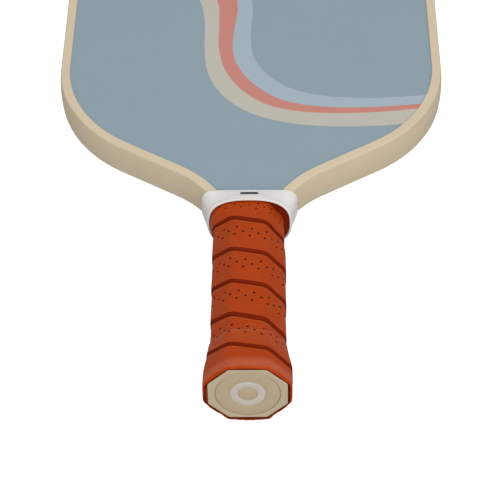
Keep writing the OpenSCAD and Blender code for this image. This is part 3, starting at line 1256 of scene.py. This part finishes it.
def collar():
    """The throat collar, lofted from a rounded rim to a straight far edge, cut to fit blade and guard."""
    made = put("throat_collar", rings(collar_loops()), [collar_plastic()], "collar")
    room = CUT_ROOM
    tang = TANG_HALF + room
    blade = head_chain(PANEL_INSET - room, 150.0)
    blade = [Vector((tang, 100.0))] + [p for p in blade if tang < p.x and p.y < CUT_END_Y]
    outline = blade + [Vector((-p.x, p.y)) for p in reversed(blade)]
    slot = tool("cut_slot", [[(p.x, p.y, z) for p in outline] for z in (-FACE_Z - room, FACE_Z + room)])
    loops = swept(guard_cutter_section(room), GUARD_END_Y - 0.6)
    near = [loop for loop in loops if loop[0][1] < CUT_END_Y and loop[0][0] > 0]
    right = tool("cut_right", near)
    left = tool("cut_left", [[(-x, y, z) for x, y, z in loop] for loop in near])
    cut_out(made, [slot, right, left])
    clean(made.data, 0.002)
    soften(made.data, 30.0)
    return made


def guard_cutter_section(room):
    """The guard's outside as a plain closed section, a little larger than the guard."""
    half = GUARD_HALF + room
    back = GUARD_DEPTH + 0.1
    return [Vector(p) for p in guard_wall(12, room) + [(back, -half), (back, half)]]


MARK_Y = 121.9
MARK_SIZE = (9.5, 3.4)


def collar_mark():
    """A plain dash, a thin inlay in the collar's sloping top."""
    slope = math.atan((RIM_HALF[1] - FAR_HALF[1]) / (FAR_Y - RIM_Y))
    z = FAR_HALF[1] + (FAR_Y - MARK_Y) * math.tan(slope)
    r = MARK_SIZE[1] / 2
    reach = MARK_SIZE[0] / 2 - r
    outline = []
    for x, start in ((reach, -90), (-reach, 90)):
        for k in range(17):
            a = math.radians(start + 180 * k / 16)
            outline.append((x, math.cos(a), math.sin(a)))
    loops = []
    for height, pull_in in ((-0.35, 0.0), (0.0, 0.0), (0.03, 0.02), (0.045, 0.06)):
        loop = []
        for x, c, s in outline:
            v = (r - pull_in) * s
            loop.append((
                x + (r - pull_in) * c,
                MARK_Y + v * math.cos(slope) + height * math.sin(slope),
                z - v * math.sin(slope) + height * math.cos(slope),
            ))
        loops.append(loop)
    return put("collar_dash", rings(loops), [mark_ink()], "collar_mark", crease=30.0)


# Materials of the CAD nodes that stay

def dress(node, material):
    """Gives a CAD node its material."""
    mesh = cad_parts[node].data
    mesh.materials.clear()
    mesh.materials.append(material)


def dress_cad_nodes():
    film = blue_film()
    resin = adhesive_resin()
    glass = glass_skin()
    shell = shell_plastic()
    for side in ("front", "back"):
        dress(f"printed_film_{side}", film)
        dress(f"adhesive_{side}", resin)
        dress(f"skin_{side}", glass)
        dress(f"handle_shell_{side}", shell)
    dress("core", honeycomb_plastic())
    dress("guard_tape", foam_tape())


# Studio

# The camera's place, its distance in metres and its angles in degrees
CAMERA_TARGET = Vector((0.389, 94.514, 0.0)) * MM
CAMERA_DISTANCE = 1.20229
CAMERA_ELEVATION = 45.751
CAMERA_AZIMUTH = 1.148
CAMERA_ROLL = -1.03
CAMERA_LENS = 174.351
SENSOR_WIDTH = 36.0

# The floor, then the lights in metres and watts
FLOOR_Z = -20.4
FLOOR_HALF = 6000.0
WORLD_STRENGTH = 0.575
FRONT_LIGHT = {"place": (0.45, -1.5, 1.25), "target": (0, 0.15, 0), "size": (1.6, 1.2), "power": 17.5}
TOP_LIGHT = {"place": (0.05, 0.15, 1.5), "target": (0, 0.05, 0), "size": (1.0, 0.45), "power": 4.0}


def camera():
    lens = bpy.data.cameras.new("camera")
    lens.lens = CAMERA_LENS
    lens.sensor_width = SENSOR_WIDTH
    lens.clip_start = 0.01
    lens.clip_end = 50.0
    made = bpy.data.objects.new("camera", lens)
    scene.collection.objects.link(made)
    e = math.radians(CAMERA_ELEVATION)
    a = math.radians(CAMERA_AZIMUTH)
    roll = math.radians(CAMERA_ROLL)
    back = Vector((math.sin(a) * math.cos(e), -math.cos(a) * math.cos(e), math.sin(e)))
    right = (-back).cross(Vector((0, 0, 1))).normalized()
    up = right.cross(-back)
    across = right * math.cos(roll) + up * math.sin(roll)
    above = up * math.cos(roll) - right * math.sin(roll)
    turn = Matrix((across, above, back)).transposed().to_4x4()
    made.matrix_world = Matrix.Translation(CAMERA_TARGET + back * CAMERA_DISTANCE) @ turn
    scene.camera = made


def floor():
    """A floor that its own glow doesn't light the paddle from."""
    half = FLOOR_HALF
    corners = [(-half, -half), (half, -half), (half, half), (-half, half)]
    made = solid("floor", ([(x, y, FLOOR_Z) for x, y in corners], [(0, 1, 2, 3)]))
    made.data.materials.append(studio_floor())
    alone = bpy.data.collections.new("lit_by_floor")
    alone.objects.link(made)
    made.light_linking.receiver_collection = alone


def area_light(name, place, target, size, power):
    lamp = bpy.data.lights.new(name, "AREA")
    lamp.shape = "RECTANGLE"
    lamp.size, lamp.size_y = size
    lamp.energy = power
    made = bpy.data.objects.new(name, lamp)
    scene.collection.objects.link(made)
    aim = (Vector(target) - Vector(place)).to_track_quat("-Z", "Y")
    made.matrix_world = Matrix.Translation(place) @ aim.to_matrix().to_4x4()


def studio():
    world = bpy.data.worlds.new("studio")
    world.use_nodes = True
    background = world.node_tree.nodes["Background"]
    background.inputs["Color"].default_value = (1, 1, 1, 1)
    background.inputs["Strength"].default_value = WORLD_STRENGTH
    scene.world = world
    area_light("front", **FRONT_LIGHT)
    area_light("above", **TOP_LIGHT)
    scene.view_settings.view_transform = "Standard"
    scene.view_settings.look = "None"
    floor()
    camera()


studio()
edge_guard()
printed_bands()
grip_strip()
finishing_tape()
butt_cap()
butt_badge()
badge_ring()
collar()
collar_mark()
dress_cad_nodes()
